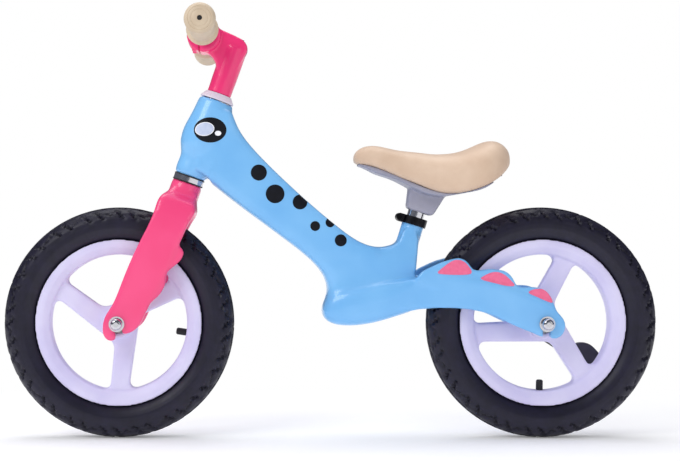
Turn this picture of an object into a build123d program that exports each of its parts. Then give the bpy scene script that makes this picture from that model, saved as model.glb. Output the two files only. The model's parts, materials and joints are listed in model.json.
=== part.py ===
from build123d import *
from math import cos, radians, sin, sqrt
import os

# A child's balance bike: one cast frame with its rear stays, a cast fork, two three-spoke
# wheels on air tyres, a quill stem with a straight bar, a height-adjustable saddle and a
# side stand. Front is -X, the rider's left is -Y, up is +Z; the origin is on the ground,
# midway between the two wheel centres.

os.makedirs("parts", exist_ok=True)

# ---------------------------------------------------------------- driving dimensions (mm, degrees)
wheelbase = 550
bead_radius = 101.5           # seat of a 203 mm tyre on its rim
tyre_height = 48.5            # from that seat to the tyre's outside
head_angle = 70.5             # steering axis above the horizontal
fork_rake = 23                # front hub ahead of the steering axis
seat_angle = 73.3             # seat tube axis above the horizontal
bar_width = 360

# Clearances
running = 0.05                # radial, shaft in a bore that it turns or slides in
slack = 0.3                   # between faces that pass each other
tyre_gap = 8                  # tyre to yoke, crown and blades
hole_slack = 0.25             # radial, bolt in a plain hole

# Wheel
tyre_half_width = 23.5
tyre_wall = 3.2
tube_wall = 1.6
rim_flange = 6.5              # rim's edge above the tyre's seat
rim_depth = 12.5              # tyre's seat above the rim's inside
well_depth = 5                # well in the rim below the tyre's seat
bead_opening = 16             # between the tyre's two beads
rim_half_width = 18
rim_wall = 3
spoke_half_thickness = 9
spoke_tip = (-11.3, 12.0)     # edges of a spoke where it meets the rim, across its radius
spoke_root = (-3.0, 25.0)     # the same edges carried to the hub's centre
window_corner = 8
hub_corner_radius = 16
hub_radius = 19
hub_half_length = 26
bearing_outer_radius = 13
bearing_width = 8
axle_radius = 5
valve_radius = 4
valve_reach = 14              # valve's tip below the rim's inside
valve_cap_length = 13
nut_flange_radius = 10
nut_flange = 3
nut_radius = 7.5
nut_height = 9
nut_cap = 5

# Fork and stays
blade_inner = 32              # inner face of blades and stays from the middle plane
blade_outer = 45
fin_recess = 2.5              # fins lie this much inside the blade's outer face
fin_thickness = 9
crown_height = 23
neck_height = 15
neck_radius = 19.5

# Headset and steerer
steerer_radius = 12.7
steerer_wall = 1.5
bore_room = 2.7               # from the steerer to the head tube's bore
head_wall = 3                 # head tube's wall at its lower end
lower_cup_room = 7.3          # from the steerer to the lower cup's outside
lower_cup_flange = 8
cup_wall = 2.6
upper_cup_wall = 1.6
head_length = 105
upper_pocket_room = 5.3       # from the steerer to the upper cup's outside
upper_pocket_depth = 8.5
headset_bearing_height = 5.2
race_height = 2
cover_height = 8.8
cover_base_radius = 22.3
cover_top_radius = 17
locknut_room = 3.3            # from the steerer to the locknut's corners
locknut_height = 6

# Stem and bar
stem_base_radius = 15.7
stem_head_half_width = 13
bar_reach = 43.5              # bar ahead of the steering axis
bar_rise = 64.3               # bar above the stem's base, along the steering axis
clamp_ring = 10.6             # wall of the stem's bar clamp
clamp_half_width = 20
bar_radius = 11.1
bar_wall = 1.6
quill_depth = 70
wedge_back = 32               # height of the wedge's slanted face, 20 behind and 20 ahead of the axis
wedge_front = 4
expander_radius = 4
cap_split = 5.5               # cap's split plane ahead of the bar axis
cap_gap = 1
cap_bolt_radius = 2.5
bolt_head = 1.7               # bolt head's radius over its shank's
cap_bolt_room = 5.1           # bar's surface to the bolts' axes
cap_bolt_spread = 24
grip_length = 107
grip_end_wall = 4

# Frame
beam_half_width = 24
seat_tube_wall = 3.4
seat_post_radius = 11.1
seat_post_wall = 2
seat_bore_depth = 100
post_insertion = 82
post_exposed = 7.7            # bare post between the clamp and the saddle
post_in_saddle = 27
clamp_wall = 2.3
clamp_height = 11
clamp_bolt_radius = 3
clamp_ear_reach = 5           # bolt axis ahead of the seat tube's face
clamp_ear_half = 9            # half width of the ears
seat_slit = 2.4
saddle_gap = 1                # cover's edge to the base
nose_plate = 6                # base plate under the nose
tail_plate = 1.8              # base plate behind the post
plate_change = 20             # behind the post's foot
socket_wall = 3.6             # pedestal's front wall round the post
socket_lip = 3.3              # pedestal's lower rim, up to where its sides are measured from
skirt_narrowing = 0.94        # cover's lower edge over its widest section

# Side stand
stand_length = 119.6          # pivot to the centre of the foot pad
stand_fold_angle = -32.4      # leg below the horizontal when it is folded
stand_leg_radius = 3.8
stand_pivot_radius = 4
stand_eye_radius = 9
stand_eye_width = 10
stand_plate = 3.5
stand_splay = 14              # the foot stands this much further out than the eye
pad_thickness = 12

# ---------------------------------------------------------------- places worked out from them
wheel_radius = bead_radius + tyre_height
flange_radius = bead_radius + rim_flange
rim_inner_radius = bead_radius - rim_depth
window_radius = rim_inner_radius - slack
valve_tip_radius = rim_inner_radius - valve_reach
head_bore_radius = steerer_radius + bore_room
lower_cup_radius = steerer_radius + lower_cup_room
upper_pocket_radius = steerer_radius + upper_pocket_room
locknut_radius = steerer_radius + locknut_room
quill_radius = steerer_radius - steerer_wall - running
clamp_radius = bar_radius + clamp_ring
cap_bolt_offset = bar_radius + cap_bolt_room
seat_tube_radius = seat_post_radius + seat_tube_wall
clamp_bolt_reach = seat_tube_radius + clamp_ear_reach
head_a = radians(head_angle)
seat_a = radians(seat_angle)
front_hub = (-wheelbase / 2, wheel_radius)
rear_hub = (wheelbase / 2, wheel_radius)
foot_x = front_hub[0] + fork_rake * sin(head_a)
foot_z = front_hub[1] - fork_rake * cos(head_a)
yoke = (rear_hub[0] - wheel_radius - tyre_gap, rear_hub[1])
seat_top = (yoke[0] - 9, yoke[1] + 126.5)


def steer(forward, along):
    """World X, Z of a point ahead of the steering axis and along it from the hub's level."""
    x = foot_x - forward * sin(head_a) + along * cos(head_a)
    return (x, foot_z + forward * cos(head_a) + along * sin(head_a))


def seat(forward, along):
    """World X, Z of a point ahead of the seat tube's axis and along it from the clamp's seat."""
    x = seat_top[0] - forward * sin(seat_a) + along * cos(seat_a)
    return (x, seat_top[1] + forward * cos(seat_a) + along * sin(seat_a))


def near_yoke(dx, dz):
    return (yoke[0] + dx, yoke[1] + dz)


def near_rear(dx, dz):
    return (rear_hub[0] + dx, rear_hub[1] + dz)


def spatial(point, y=0):
    return (point[0], y, point[1])


plate_bolts = [near_rear(-39, 16), near_rear(-20, 23)]
plate_bolt_depth = 8
steer_side = Plane(origin=(foot_x, 0, foot_z), x_dir=(-sin(head_a), 0, cos(head_a)), z_dir=(0, 1, 0))
steer_front = Plane(origin=(foot_x, 0, foot_z), x_dir=(0, 1, 0), z_dir=(sin(head_a), 0, -cos(head_a)))
steer_axis = Axis((foot_x, 0, foot_z), (cos(head_a), 0, sin(head_a)))
seat_side = Plane(origin=spatial(seat_top), x_dir=(-sin(seat_a), 0, cos(seat_a)), z_dir=(0, 1, 0))


def steer_level(along):
    return Plane(steer_side.from_local_coords((0, along, 0)), x_dir=steer_side.x_dir,
                 z_dir=steer_side.y_dir)


def seat_level(along):
    return Plane(seat_side.from_local_coords((0, along, 0)), x_dir=seat_side.x_dir,
                 z_dir=seat_side.y_dir)


crown_underside = wheel_radius + tyre_gap + 5
crown_top = crown_underside + crown_height
neck_top = crown_top + neck_height
cup_bottom = neck_top + 2 * slack
head_bottom = cup_bottom + lower_cup_flange
head_top = head_bottom + head_length
cover_bottom = head_top + 2 * slack
cover_top = cover_bottom + cover_height
stem_base = cover_top + slack
steerer_top = cover_bottom + locknut_height
bar_along = stem_base + bar_rise
bar_center = steer(bar_reach, bar_along)
bar_axis = Axis(spatial(bar_center), (0, 1, 0))


def finish_part(builder, name):
    builder.part.label = name
    export_step(builder.part, "parts/" + name + ".step")


def ring(plane, inner, outer, height):
    """A plain ring standing on a plane, joined to the part being built."""
    with BuildSketch(plane) as section:
        Circle(outer)
        if inner > 0:
            Circle(inner, mode=Mode.SUBTRACT)
    extrude(section.sketch, amount=height)


# ---------------------------------------------------------------- frame
with BuildPart() as fins:
    # Three fins in a row stand up from each stay.
    with BuildSketch(Plane.XZ):
        with BuildLine():
            Spline(
                near_rear(-166, 54),
                near_rear(-160, 66),
                near_rear(-147.5, 73),
                near_rear(-134, 79),
                near_rear(-120, 83),
                near_rear(-110, 84),
                near_rear(-101, 79),
                near_rear(-92, 69),
                near_rear(-80, 69.5),
                near_rear(-66, 70),
                near_rear(-53, 67.5),
                near_rear(-43, 58.5),
                near_rear(-37, 48.5),
                near_rear(-25, 47),
                near_rear(-9, 46),
                near_rear(1, 41),
                near_rear(8, 30),
                near_rear(14, 15),
            )
            Polyline(
                near_rear(14, 15),
                near_rear(-10, 10),
                near_rear(-60, 30),
                near_rear(-120, 40),
                near_rear(-166, 54),
            )
        make_face()
    extrude(amount=blade_outer - fin_recess, both=True)
    with BuildSketch(Plane.XZ):
        with Locations(near_rear(-75, 45)):
            Rectangle(260, 140)
    extrude(amount=blade_outer - fin_recess - fin_thickness, both=True, mode=Mode.SUBTRACT)

with BuildPart() as stays:
    # A band that flares out from the toe and runs back to the dropouts.
    with BuildSketch(Plane.XZ):
        with BuildLine():
            Spline(
                near_yoke(-127, 11),
                near_yoke(-113, 32),
                near_yoke(-80, 44),
                near_yoke(-40, 52),
                near_yoke(3, 59),
                near_yoke(23, 59),
                near_rear(-95, 57),
                near_rear(-60, 50),
                near_rear(-30, 39),
                near_rear(0, 26),
                near_rear(15, 14),
                near_rear(23, 3),
                near_rear(23, -8),
                near_rear(16, -17),
                near_rear(8, -18.5),
            )
            Line(near_rear(8, -18.5), near_rear(-9, -15.5))
            Spline(
                near_rear(-9, -15.5),
                near_rear(-15, -12.5),
                near_rear(-25, -8.5),
                near_rear(-45, 0),
                near_rear(-75, 13.5),
                near_rear(-105, 19.5),
                near_yoke(23, 20.5),
                near_yoke(-17, 16.4),
                near_yoke(-57, 4.5),
                near_yoke(-97, -0.6),
                near_yoke(-120, 4),
                near_yoke(-127, 11),
            )
        make_face()
    extrude(amount=blade_outer, both=True)
    with BuildSketch(Plane.XY):
        with BuildLine():
            Line((yoke[0] - 130, 0), (yoke[0] - 130, 25))
            Spline(
                (yoke[0] - 130, 25),
                (yoke[0] - 110, 32),
                (yoke[0] - 60, 36),
                (yoke[0] - 10, 39.5),
                (yoke[0] + 45, 43.8),
                (yoke[0] + 75, blade_outer),
            )
            Polyline(
                (yoke[0] + 75, blade_outer),
                (rear_hub[0] + 30, blade_outer),
                (rear_hub[0] + 30, blade_inner),
                (yoke[0] + 20, blade_inner),
                (yoke[0] + 6, 0),
                (yoke[0] - 130, 0),
            )
        make_face()
        mirror(about=Plane.XZ)
    extrude(amount=rear_hub[1] + 100, mode=Mode.INTERSECT)

with BuildPart() as frame:
    # Beam from the head down to the body in front of the rear wheel.
    with BuildSketch(Plane.XZ):
        with BuildLine():
            Spline(
                steer(-23, head_top - 7),
                steer(-34.4, head_top - 23.6),
                steer(-59.5, head_top - 42.3),
                steer(-93.8, head_top - 59.9),
                near_yoke(-107, 121.2),
                near_yoke(-87, 106.8),
                near_yoke(-68, 98),
                near_yoke(-51, 95.6),
                near_yoke(-39.5, 97.6),
                near_yoke(-32, 102.5),
                near_yoke(-26, 110.5),
                near_yoke(-22.5, 119),
                near_yoke(-13, 123),
                near_yoke(-4, 112),
                near_yoke(-4, 95),
                near_yoke(-6, 78),
                near_yoke(-7.5, 60),
                near_yoke(-5, 42),
                near_yoke(-3, 28),
                near_yoke(-12, 17),
                near_yoke(-37, 10),
                near_yoke(-67, 2.2),
                near_yoke(-97, -0.4),
                near_yoke(-119, 4),
                near_yoke(-126, 14),
                near_yoke(-121, 28),
                near_yoke(-117.5, 43),
                near_yoke(-122, 60),
                near_yoke(-137, 79.4),
                near_yoke(-167, 104.5),
                steer(-59, head_bottom - 6.5),
                steer(-34.8, head_bottom + 1.9),
                steer(-18, head_bottom + 8),
            )
            Polyline(
                steer(-18, head_bottom + 8),
                steer(-4, head_bottom + 12),
                steer(-4, head_top - 12),
                steer(-23, head_top - 7),
            )
        make_face()
    extrude(amount=beam_half_width, both=True)
    # Its shoulders narrow towards the seat tube.
    with BuildSketch(Plane.YZ.offset(yoke[0] - 56)):
        with BuildLine():
            Spline(
                (beam_half_width + 1, yoke[1] + 74),
                (beam_half_width - 3, yoke[1] + 90),
                (seat_tube_radius + 3, yoke[1] + 104),
                (seat_tube_radius + 0.5, yoke[1] + 118),
                (seat_tube_radius, yoke[1] + 130),
            )
            Polyline(
                (seat_tube_radius, yoke[1] + 130),
                (beam_half_width + 20, yoke[1] + 130),
                (beam_half_width + 20, yoke[1] + 74),
                (beam_half_width + 1, yoke[1] + 74),
            )
        make_face()
        mirror(about=Plane.YZ)
    extrude(amount=70, mode=Mode.SUBTRACT)
    add(stays.part)
    add(fins.part)

    # Head: a plain tube below, a swollen cheek above.
    head_skin = head_bore_radius + head_wall
    with BuildSketch(steer_side):
        with BuildLine():
            Polyline((0, head_bottom), (head_skin, head_bottom), (head_skin + 2.1, head_bottom + 3))
            Spline(
                (head_skin + 2.1, head_bottom + 3),
                (head_skin + 2.4, head_bottom + 15),
                (head_skin + 2.6, head_bottom + 28),
                (head_skin + 6.2, head_bottom + 36),
                (head_skin + 8.8, head_bottom + 46),
                (head_skin + 9.3, head_bottom + 58),
                (head_skin + 7.8, head_bottom + 70),
                (head_skin + 5.8, head_bottom + 84),
                (head_skin + 4, head_top),
            )
            Polyline((head_skin + 4, head_top), (0, head_top), (0, head_bottom))
        make_face()
    revolve(axis=steer_axis)

    # Seat tube.
    ring(seat_level(-80), 0, seat_tube_radius, 80 + clamp_height - 1)

    # Room for the rear tyre.
    with BuildSketch(Plane.XZ):
        with Locations(rear_hub):
            Circle(wheel_radius + tyre_gap)
    extrude(amount=blade_inner, both=True, mode=Mode.SUBTRACT)

    # Head bore with a pocket for the upper cup.
    with BuildSketch(steer_level(head_bottom - 1)):
        Circle(head_bore_radius)
    extrude(amount=head_length + 2, mode=Mode.SUBTRACT)
    with BuildSketch(steer_level(head_top - upper_pocket_depth)):
        Circle(upper_pocket_radius)
    extrude(amount=upper_pocket_depth + 1, mode=Mode.SUBTRACT)

    # Seat bore, with the slit that lets the clamp close it.
    with BuildSketch(seat_level(-seat_bore_depth)):
        Circle(seat_post_radius + running)
    extrude(amount=seat_bore_depth + clamp_height, mode=Mode.SUBTRACT)
    with BuildSketch(seat_side):
        with Locations((-seat_tube_radius, clamp_height - 15)):
            Rectangle(seat_tube_radius, 32)
    extrude(amount=seat_slit / 2, both=True, mode=Mode.SUBTRACT)

    # Dropout slots, open downwards.
    with BuildSketch(Plane.XZ):
        with Locations(rear_hub):
            Circle(axle_radius)
        with Locations(near_rear(0, -15)):
            Rectangle(2 * axle_radius, 30)
    extrude(amount=blade_outer + 1, both=True, mode=Mode.SUBTRACT)

    # Threaded holes for the side stand's bracket, in the right stay.
    with BuildSketch(Plane.XZ.offset(-blade_outer)):
        with Locations(*plate_bolts):
            Circle(cap_bolt_radius)
    extrude(amount=plate_bolt_depth, mode=Mode.SUBTRACT)
finish_part(frame, "frame")

# ---------------------------------------------------------------- headset
with BuildPart() as lower_cup:
    ring(steer_level(cup_bottom), lower_cup_radius - cup_wall, lower_cup_radius, lower_cup_flange)
    ring(steer_level(head_bottom), steerer_radius + 1, head_bore_radius, 10)
    ring(steer_level(head_bottom - 1), steerer_radius + 1, lower_cup_radius - cup_wall, 1)
finish_part(lower_cup, "headset_lower_cup")

lower_bearing_level = neck_top + race_height + slack
with BuildPart() as lower_bearing:
    ring(steer_level(lower_bearing_level), steerer_radius + running, lower_cup_radius - cup_wall,
         head_bottom - 1 - lower_bearing_level)
finish_part(lower_bearing, "headset_lower_bearing")

with BuildPart() as crown_race:
    ring(steer_level(neck_top), steerer_radius, lower_cup_radius - cup_wall - slack, race_height)
finish_part(crown_race, "headset_crown_race")

with BuildPart() as upper_cup:
    floor = upper_pocket_depth - headset_bearing_height - 1
    ring(steer_level(head_top - upper_pocket_depth), steerer_radius + 1, upper_pocket_radius, floor)
    ring(steer_level(head_top - upper_pocket_depth + floor), upper_pocket_radius - upper_cup_wall,
         upper_pocket_radius, upper_pocket_depth - floor)
finish_part(upper_cup, "headset_upper_cup")

with BuildPart() as upper_bearing:
    ring(steer_level(head_top - 1 - headset_bearing_height), steerer_radius + running,
         upper_pocket_radius - upper_cup_wall, headset_bearing_height)
finish_part(upper_bearing, "headset_upper_bearing")

with BuildPart() as locknut:
    with BuildSketch(steer_level(cover_bottom)):
        RegularPolygon(locknut_radius, 6)
        Circle(steerer_radius, mode=Mode.SUBTRACT)
    extrude(amount=locknut_height)
finish_part(locknut, "headset_locknut")

with BuildPart() as cover:
    with BuildSketch(steer_side):
        with BuildLine():
            Polyline(
                (locknut_radius, cover_bottom),
                (cover_base_radius, cover_bottom),
                (cover_base_radius, cover_bottom + 1.5),
                (cover_top_radius + 0.8, cover_top - 1),
                (cover_top_radius, cover_top),
                (quill_radius + 1, cover_top),
                (quill_radius + 1, steerer_top),
                (locknut_radius, steerer_top),
                (locknut_radius, cover_bottom),
            )
        make_face()
    revolve(axis=steer_axis)
finish_part(cover, "headset_cover")

# ---------------------------------------------------------------- fork
with BuildPart() as fork_fins:
    # Two fins on the back of each blade.
    with BuildSketch(steer_side):
        with BuildLine():
            Spline(
                (-14, 124),
                (-21, 119.4),
                (-26.3, 115.5),
                (-27.3, 109),
                (-24.5, 100),
                (-19, 91),
                (-15.5, 83),
                (-17.5, 72),
                (-17.7, 63),
                (-15, 52),
                (-9, 41),
                (-4.5, 30),
            )
            Polyline((-4.5, 30), (4, 34), (0, 100), (-4, 130), (-14, 124))
        make_face()
    extrude(amount=blade_outer - fin_recess, both=True)
    with BuildSketch(steer_side):
        with Locations((-12, 80)):
            Rectangle(60, 140)
    extrude(amount=blade_outer - fin_recess - fin_thickness, both=True, mode=Mode.SUBTRACT)

with BuildPart() as fork:
    crown_mid = crown_top - 10
    with BuildSketch(steer_side):
        with BuildLine():
            Spline(
                (16.5, crown_top + 4),
                (19.5, crown_top - 4),
                (24.4, crown_top - 11),
                (26.1, crown_underside - 5),
                (31.2, 103),
                (34.7, 49),
                (37.5, 16),
                (40.1, 4),
                (38.8, -9),
                (34.5, -18.5),
                (28, -23),
                (21, -22),
            )
            Line((21, -22), (9, -8))
            Spline(
                (9, -8),
                (1, -2),
                (-4.5, 8),
                (-6.3, 20),
                (-9, 45),
                (-12, 66),
                (-14.5, 90),
                (-16.5, 112),
                (-18.8, 131.5),
                (-21, crown_underside - 8),
                (-22.9, crown_underside + 7),
                (-20.8, crown_top - 11),
                (-19, crown_top + 4),
            )
            Line((-19, crown_top + 4), (16.5, crown_top + 4))
        make_face()
    extrude(amount=blade_outer, both=True)
    with BuildSketch(steer_front):
        with BuildLine():
            Polyline((0, crown_top + 4), (neck_radius, crown_top + 4))
            Spline(
                (neck_radius, crown_top + 4),
                (neck_radius + 5, crown_top - 3),
                (blade_outer - 8, crown_mid),
                (blade_outer - 1, crown_underside - 8),
                (blade_outer, crown_underside - 25),
            )
            Polyline(
                (blade_outer, crown_underside - 25),
                (blade_outer, -30),
                (blade_inner, -30),
                (blade_inner, crown_underside - blade_inner * 0.6),
            )
            Spline(
                (blade_inner, crown_underside - blade_inner * 0.6),
                (blade_inner * 0.8, crown_underside - 6),
                (0, crown_underside),
            )
            Line((0, crown_underside), (0, crown_top + 4))
        make_face()
        mirror(about=Plane.YZ)
    extrude(amount=80, both=True, mode=Mode.INTERSECT)
    ring(steer_level(crown_top - 4), 0, neck_radius, neck_height + 4)
    add(fork_fins.part)
    with BuildSketch(steer_level(crown_underside - 20)):
        Circle(steerer_radius)
    extrude(amount=neck_top, mode=Mode.SUBTRACT)
    with BuildSketch(Plane.XZ):
        with Locations(front_hub):
            Circle(axle_radius)
        with Locations(Location((front_hub[0] + 3, front_hub[1] - 15, 0), 12)):
            Rectangle(2 * axle_radius, 31)
    extrude(amount=blade_outer + 1, both=True, mode=Mode.SUBTRACT)
finish_part(fork, "fork")

with BuildPart() as steerer:
    ring(steer_level(crown_underside + 1), steerer_radius - steerer_wall, steerer_radius,
         steerer_top - crown_underside - 1)
finish_part(steerer, "steerer_tube")

# ---------------------------------------------------------------- stem and bar
quill_bottom = stem_base - quill_depth
with BuildPart() as stem_blank:
    with BuildSketch(steer_side):
        with BuildLine():
            Line((8, stem_base + 22), (stem_base_radius - 1, stem_base + 32))
            Spline(
                (stem_base_radius - 1, stem_base + 32),
                (18.5, stem_base + 38),
                (24, stem_base + 42.3),
                (33, stem_base + 45),
            )
            Polyline(
                (33, stem_base + 45),
                (bar_reach, bar_along - clamp_radius + 2),
                (bar_reach, bar_along + clamp_radius - 4),
            )
            Spline(
                (bar_reach, bar_along + clamp_radius - 4),
                (25, stem_base + 79),
                (6, stem_base + 77.5),
                (-6, stem_base + 75.5),
                (-13.5, stem_base + 70.5),
                (-16.2, stem_base + 63),
            )
            Polyline((-16.2, stem_base + 63), (-8, stem_base + 22), (8, stem_base + 22))
        make_face()
    extrude(amount=stem_head_half_width, both=True)
    ring(steer_level(stem_base), 0, stem_base_radius, bar_rise)
    with BuildSketch(Plane(spatial(bar_center), x_dir=(1, 0, 0), z_dir=(0, -1, 0))):
        Circle(clamp_radius)
    extrude(amount=clamp_half_width, both=True)
    ring(steer_level(quill_bottom), 0, quill_radius, quill_depth + 1)
    # Bar bore, expander bolt bore with its head's pocket, and the wedge's slanted face.
    with BuildSketch(Plane(spatial(bar_center), x_dir=(1, 0, 0), z_dir=(0, -1, 0))):
        Circle(bar_radius + running)
    extrude(amount=clamp_half_width + 1, both=True, mode=Mode.SUBTRACT)

split_x = bar_center[0] - cap_split
cap_bolt_places = [
    (y, bar_center[1] + side * cap_bolt_offset)
    for y in (-cap_bolt_spread / 2, cap_bolt_spread / 2)
    for side in (-1, 1)
]
bolt_face = Plane(origin=(split_x, 0, 0), x_dir=(0, 1, 0), z_dir=(1, 0, 0))
head_face = split_x - 10.5

with BuildPart() as stem:
    add(stem_blank.part)
    with BuildSketch(bolt_face):
        with Locations((0, bar_center[1])):
            Rectangle(120, 120)
    extrude(amount=-60, mode=Mode.SUBTRACT)
    with BuildSketch(bolt_face):
        with Locations(*cap_bolt_places):
            Circle(cap_bolt_radius)
    extrude(amount=11, mode=Mode.SUBTRACT)
    with BuildSketch(steer_level(quill_bottom - 1)):
        Circle(expander_radius + hole_slack)
    extrude(amount=stem_base + 100, mode=Mode.SUBTRACT)
    with BuildSketch(steer_level(stem_base + 62)):
        Circle(expander_radius * 2)
    extrude(amount=40, mode=Mode.SUBTRACT)
    with BuildSketch(steer_side):
        with BuildLine():
            Polyline(
                (20, quill_bottom - 1),
                (-20, quill_bottom - 1),
                (-20, quill_bottom + wedge_back),
                (20, quill_bottom + wedge_front),
                (20, quill_bottom - 1),
            )
        make_face()
    extrude(amount=20, both=True, mode=Mode.SUBTRACT)
finish_part(stem, "stem")

with BuildPart() as wedge:
    ring(steer_level(quill_bottom - 8), expander_radius, quill_radius - slack, 60)
    with BuildSketch(steer_side):
        with BuildLine():
            Polyline(
                (-20, quill_bottom + wedge_back),
                (20, quill_bottom + wedge_front),
                (20, quill_bottom + 80),
                (-20, quill_bottom + 80),
                (-20, quill_bottom + wedge_back),
            )
        make_face()
    extrude(amount=20, both=True, mode=Mode.SUBTRACT)
finish_part(wedge, "stem_wedge")

with BuildPart() as expander:
    ring(steer_level(quill_bottom - 8), 0, expander_radius, stem_base + 62 - quill_bottom + 8)
    ring(steer_level(stem_base + 62), 0, expander_radius * bolt_head, 8)
    with BuildSketch(steer_level(stem_base + 66)):
        RegularPolygon(3.4, 6)
    extrude(amount=5, mode=Mode.SUBTRACT)
finish_part(expander, "stem_expander_bolt")

with BuildPart() as plug:
    ring(steer_level(stem_base + 71), 0, expander_radius * 2, 5.6)
finish_part(plug, "stem_plug")

with BuildPart() as stem_cap:
    with BuildSketch(Plane(spatial(bar_center), x_dir=(1, 0, 0), z_dir=(0, -1, 0))):
        Circle(clamp_radius)
        Circle(bar_radius + running, mode=Mode.SUBTRACT)
    extrude(amount=clamp_half_width, both=True)
    with BuildSketch(bolt_face.offset(-cap_gap)):
        with Locations((0, bar_center[1])):
            Rectangle(120, 120)
    extrude(amount=60, mode=Mode.SUBTRACT)
    with BuildSketch(bolt_face):
        with Locations(*cap_bolt_places):
            Circle(cap_bolt_radius + hole_slack)
    extrude(amount=-30, mode=Mode.SUBTRACT)
    with BuildSketch(bolt_face.offset(-5)):
        with Locations(*cap_bolt_places):
            Circle(2 * cap_bolt_radius)
    extrude(amount=-30, mode=Mode.SUBTRACT)
finish_part(stem_cap, "stem_cap")

with BuildPart() as cap_bolts:
    with BuildSketch(bolt_face.offset(-5)):
        with Locations(*cap_bolt_places):
            Circle(cap_bolt_radius)
    extrude(amount=16)
    with BuildSketch(bolt_face.offset(-5)):
        with Locations(*cap_bolt_places):
            Circle(bolt_head * cap_bolt_radius)
    extrude(amount=-4.5)
    with BuildSketch(bolt_face.offset(-7)):
        with Locations(*cap_bolt_places):
            RegularPolygon(2.2, 6)
    extrude(amount=-3, mode=Mode.SUBTRACT)
finish_part(cap_bolts, "stem_cap_bolts")

bar_side = Plane(spatial(bar_center), x_dir=(1, 0, 0), z_dir=(0, -1, 0))
bar_half = bar_width / 2 - grip_end_wall
with BuildPart() as handlebar:
    with BuildSketch(bar_side):
        Circle(bar_radius)
        Circle(bar_radius - bar_wall, mode=Mode.SUBTRACT)
    extrude(amount=bar_half, both=True)
finish_part(handlebar, "handlebar")

for side, name in ((-1, "grip_left"), (1, "grip_right")):
    tip = bar_width / 2
    inner = tip - grip_length
    with BuildPart() as grip:
        with BuildSketch(Plane(spatial(bar_center), x_dir=(1, 0, 0), z_dir=(0, 0, side))):
            with BuildLine():
                Polyline(
                    (bar_radius, inner),
                    (19, inner),
                    (20.5, inner + 1.2),
                    (20.5, inner + 3),
                    (16.5, inner + 5.5),
                )
                Spline(
                    (16.5, inner + 5.5),
                    (15.6, inner + 25),
                    (16.2, inner + 50),
                    (15.8, tip - 26),
                    (17.6, tip - 14),
                    (19.4, tip - 9),
                    (18.8, tip - 4),
                    (15, tip - 0.8),
                    (10, tip),
                )
                Polyline(
                    (10, tip),
                    (3, tip),
                    (3, tip - grip_end_wall),
                    (bar_radius, tip - grip_end_wall),
                    (bar_radius, inner),
                )
            make_face()
        revolve(axis=bar_axis)
    finish_part(grip, name)


# ---------------------------------------------------------------- wheels
def spoke_edge(angle, tip, root):
    """The two ends of one spoke edge, from the hub's centre out to the rim."""
    c, d = cos(radians(angle)), sin(radians(angle))
    reach = sqrt(window_radius ** 2 - tip ** 2)
    return (-root * d, root * c), (reach * c - tip * d, reach * d + tip * c)


def crossing(first, second):
    """Where the lines through two pairs of points cross."""
    (ax, ay), (bx, by) = first
    (cx, cy), (dx, dy) = second
    share = ((cx - ax) * (dy - cy) - (cy - ay) * (dx - cx)) / ((bx - ax) * (dy - cy) - (by - ay) * (dx - cx))
    return (ax + share * (bx - ax), ay + share * (by - ay))


def spoke_window(angle):
    """The round-cornered opening between the spoke at this angle and the next one."""
    near_edge = spoke_edge(angle, spoke_tip[1], spoke_root[1])
    far_edge = spoke_edge(angle + 120, spoke_tip[0], spoke_root[0])
    middle = radians(angle + 60)
    with BuildSketch() as window:
        with BuildLine():
            inner = crossing(near_edge, far_edge)
            Polyline(near_edge[1], inner, far_edge[1])
            ThreePointArc(far_edge[1], (window_radius * cos(middle), window_radius * sin(middle)),
                          near_edge[1])
        make_face()
        hub_corner = window.vertices().sort_by_distance((0, 0))[0]
        fillet(hub_corner, hub_corner_radius)
        rim_corners = window.vertices().sort_by_distance((0, 0))[-2:]
        fillet(rim_corners, window_corner)
    return window.sketch


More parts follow.
